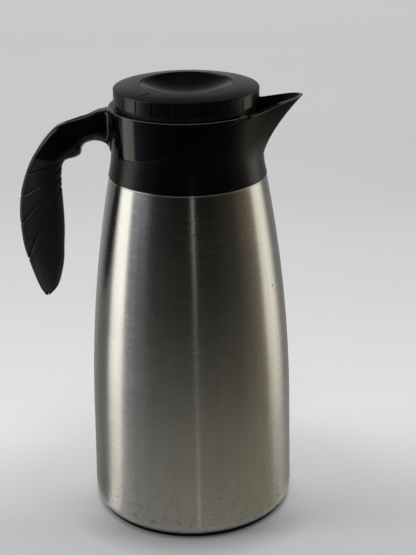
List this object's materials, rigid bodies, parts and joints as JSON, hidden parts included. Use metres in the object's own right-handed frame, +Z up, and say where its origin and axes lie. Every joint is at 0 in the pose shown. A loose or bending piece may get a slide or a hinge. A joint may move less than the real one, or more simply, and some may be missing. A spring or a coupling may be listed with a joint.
{
  "type": "thermal carafe",
  "caption": "Double-walled steel thermal carafe with a moulded pour collar, arched handle with soft grip, and a twist lid that lifts the stopper's valve.",
  "frame": {"origin": "centre of the base on the table", "axes": "+Z up along the body's axis, +X towards the spout, handle towards -X, +Y across"},
  "size_m": [0.188, 0.1398, 0.3],
  "materials": {
    "satin_steel": "satin, fine brushing round the body",
    "inner_steel": "plain drawn steel",
    "getter_metal": "sintered, matt",
    "braze": "rough bead",
    "base_plastic": "matt moulded black",
    "collar_plastic": "satin moulded black",
    "frame_plastic": "semi-gloss moulded black",
    "grip_rubber": "soft matt over-moulding",
    "lid_plastic": "fine-grained moulded black",
    "dish_plastic": "polished black",
    "stopper_plastic": "moulded black",
    "sleeve_plastic": "natural acetal",
    "silicone": "translucent grey silicone",
    "pin_steel": "ground steel"
  },
  "bodies": {
    "flask": {"outer_shell": "satin_steel", "shell_bottom": "inner_steel", "inner_liner": "inner_steel", "getter": "getter_metal", "vacuum_seal": "braze", "base_pad": "base_plastic", "neck_gasket": "silicone", "neck_ring": "stopper_plastic", "pour_collar": "collar_plastic", "handle_frame": "frame_plastic", "handle_grip": "grip_rubber", "thumb_pad": "grip_rubber", "handle_screws": "pin_steel"},
    "stopper": {"stopper_cup": "stopper_plastic", "stopper_deck": "stopper_plastic", "stopper_seal": "silicone", "flange_seal": "silicone"},
    "lid": {"lid_cap": "lid_plastic", "lid_dish": "dish_plastic", "cam_sleeve": "sleeve_plastic", "sleeve_clip": "pin_steel", "lid_screws": "pin_steel"},
    "valve": {"valve_stem": "pin_steel", "valve_pin": "pin_steel", "valve_disc": "inner_steel", "valve_seal": "silicone"}
  },
  "joints": [
    {"name": "stopper_lift", "type": "slide", "parent": "flask", "child": "stopper", "axis": [0, 0, 1], "range_m": [0, 0.055]},
    {"name": "lid_turn", "type": "hinge", "parent": "stopper", "child": "lid", "pos_m": [0, 0, 0.29], "axis": [0, 0, 1], "range_deg": [0, 90]},
    {"name": "valve_lift", "type": "slide", "parent": "stopper", "child": "valve", "axis": [0, 0, 1], "range_m": [0, 0.0041]}
  ],
  "couplings": [
    {"joint": "valve_lift", "follows": "lid_turn", "m_per_rad": 0.0025465}
  ]
}
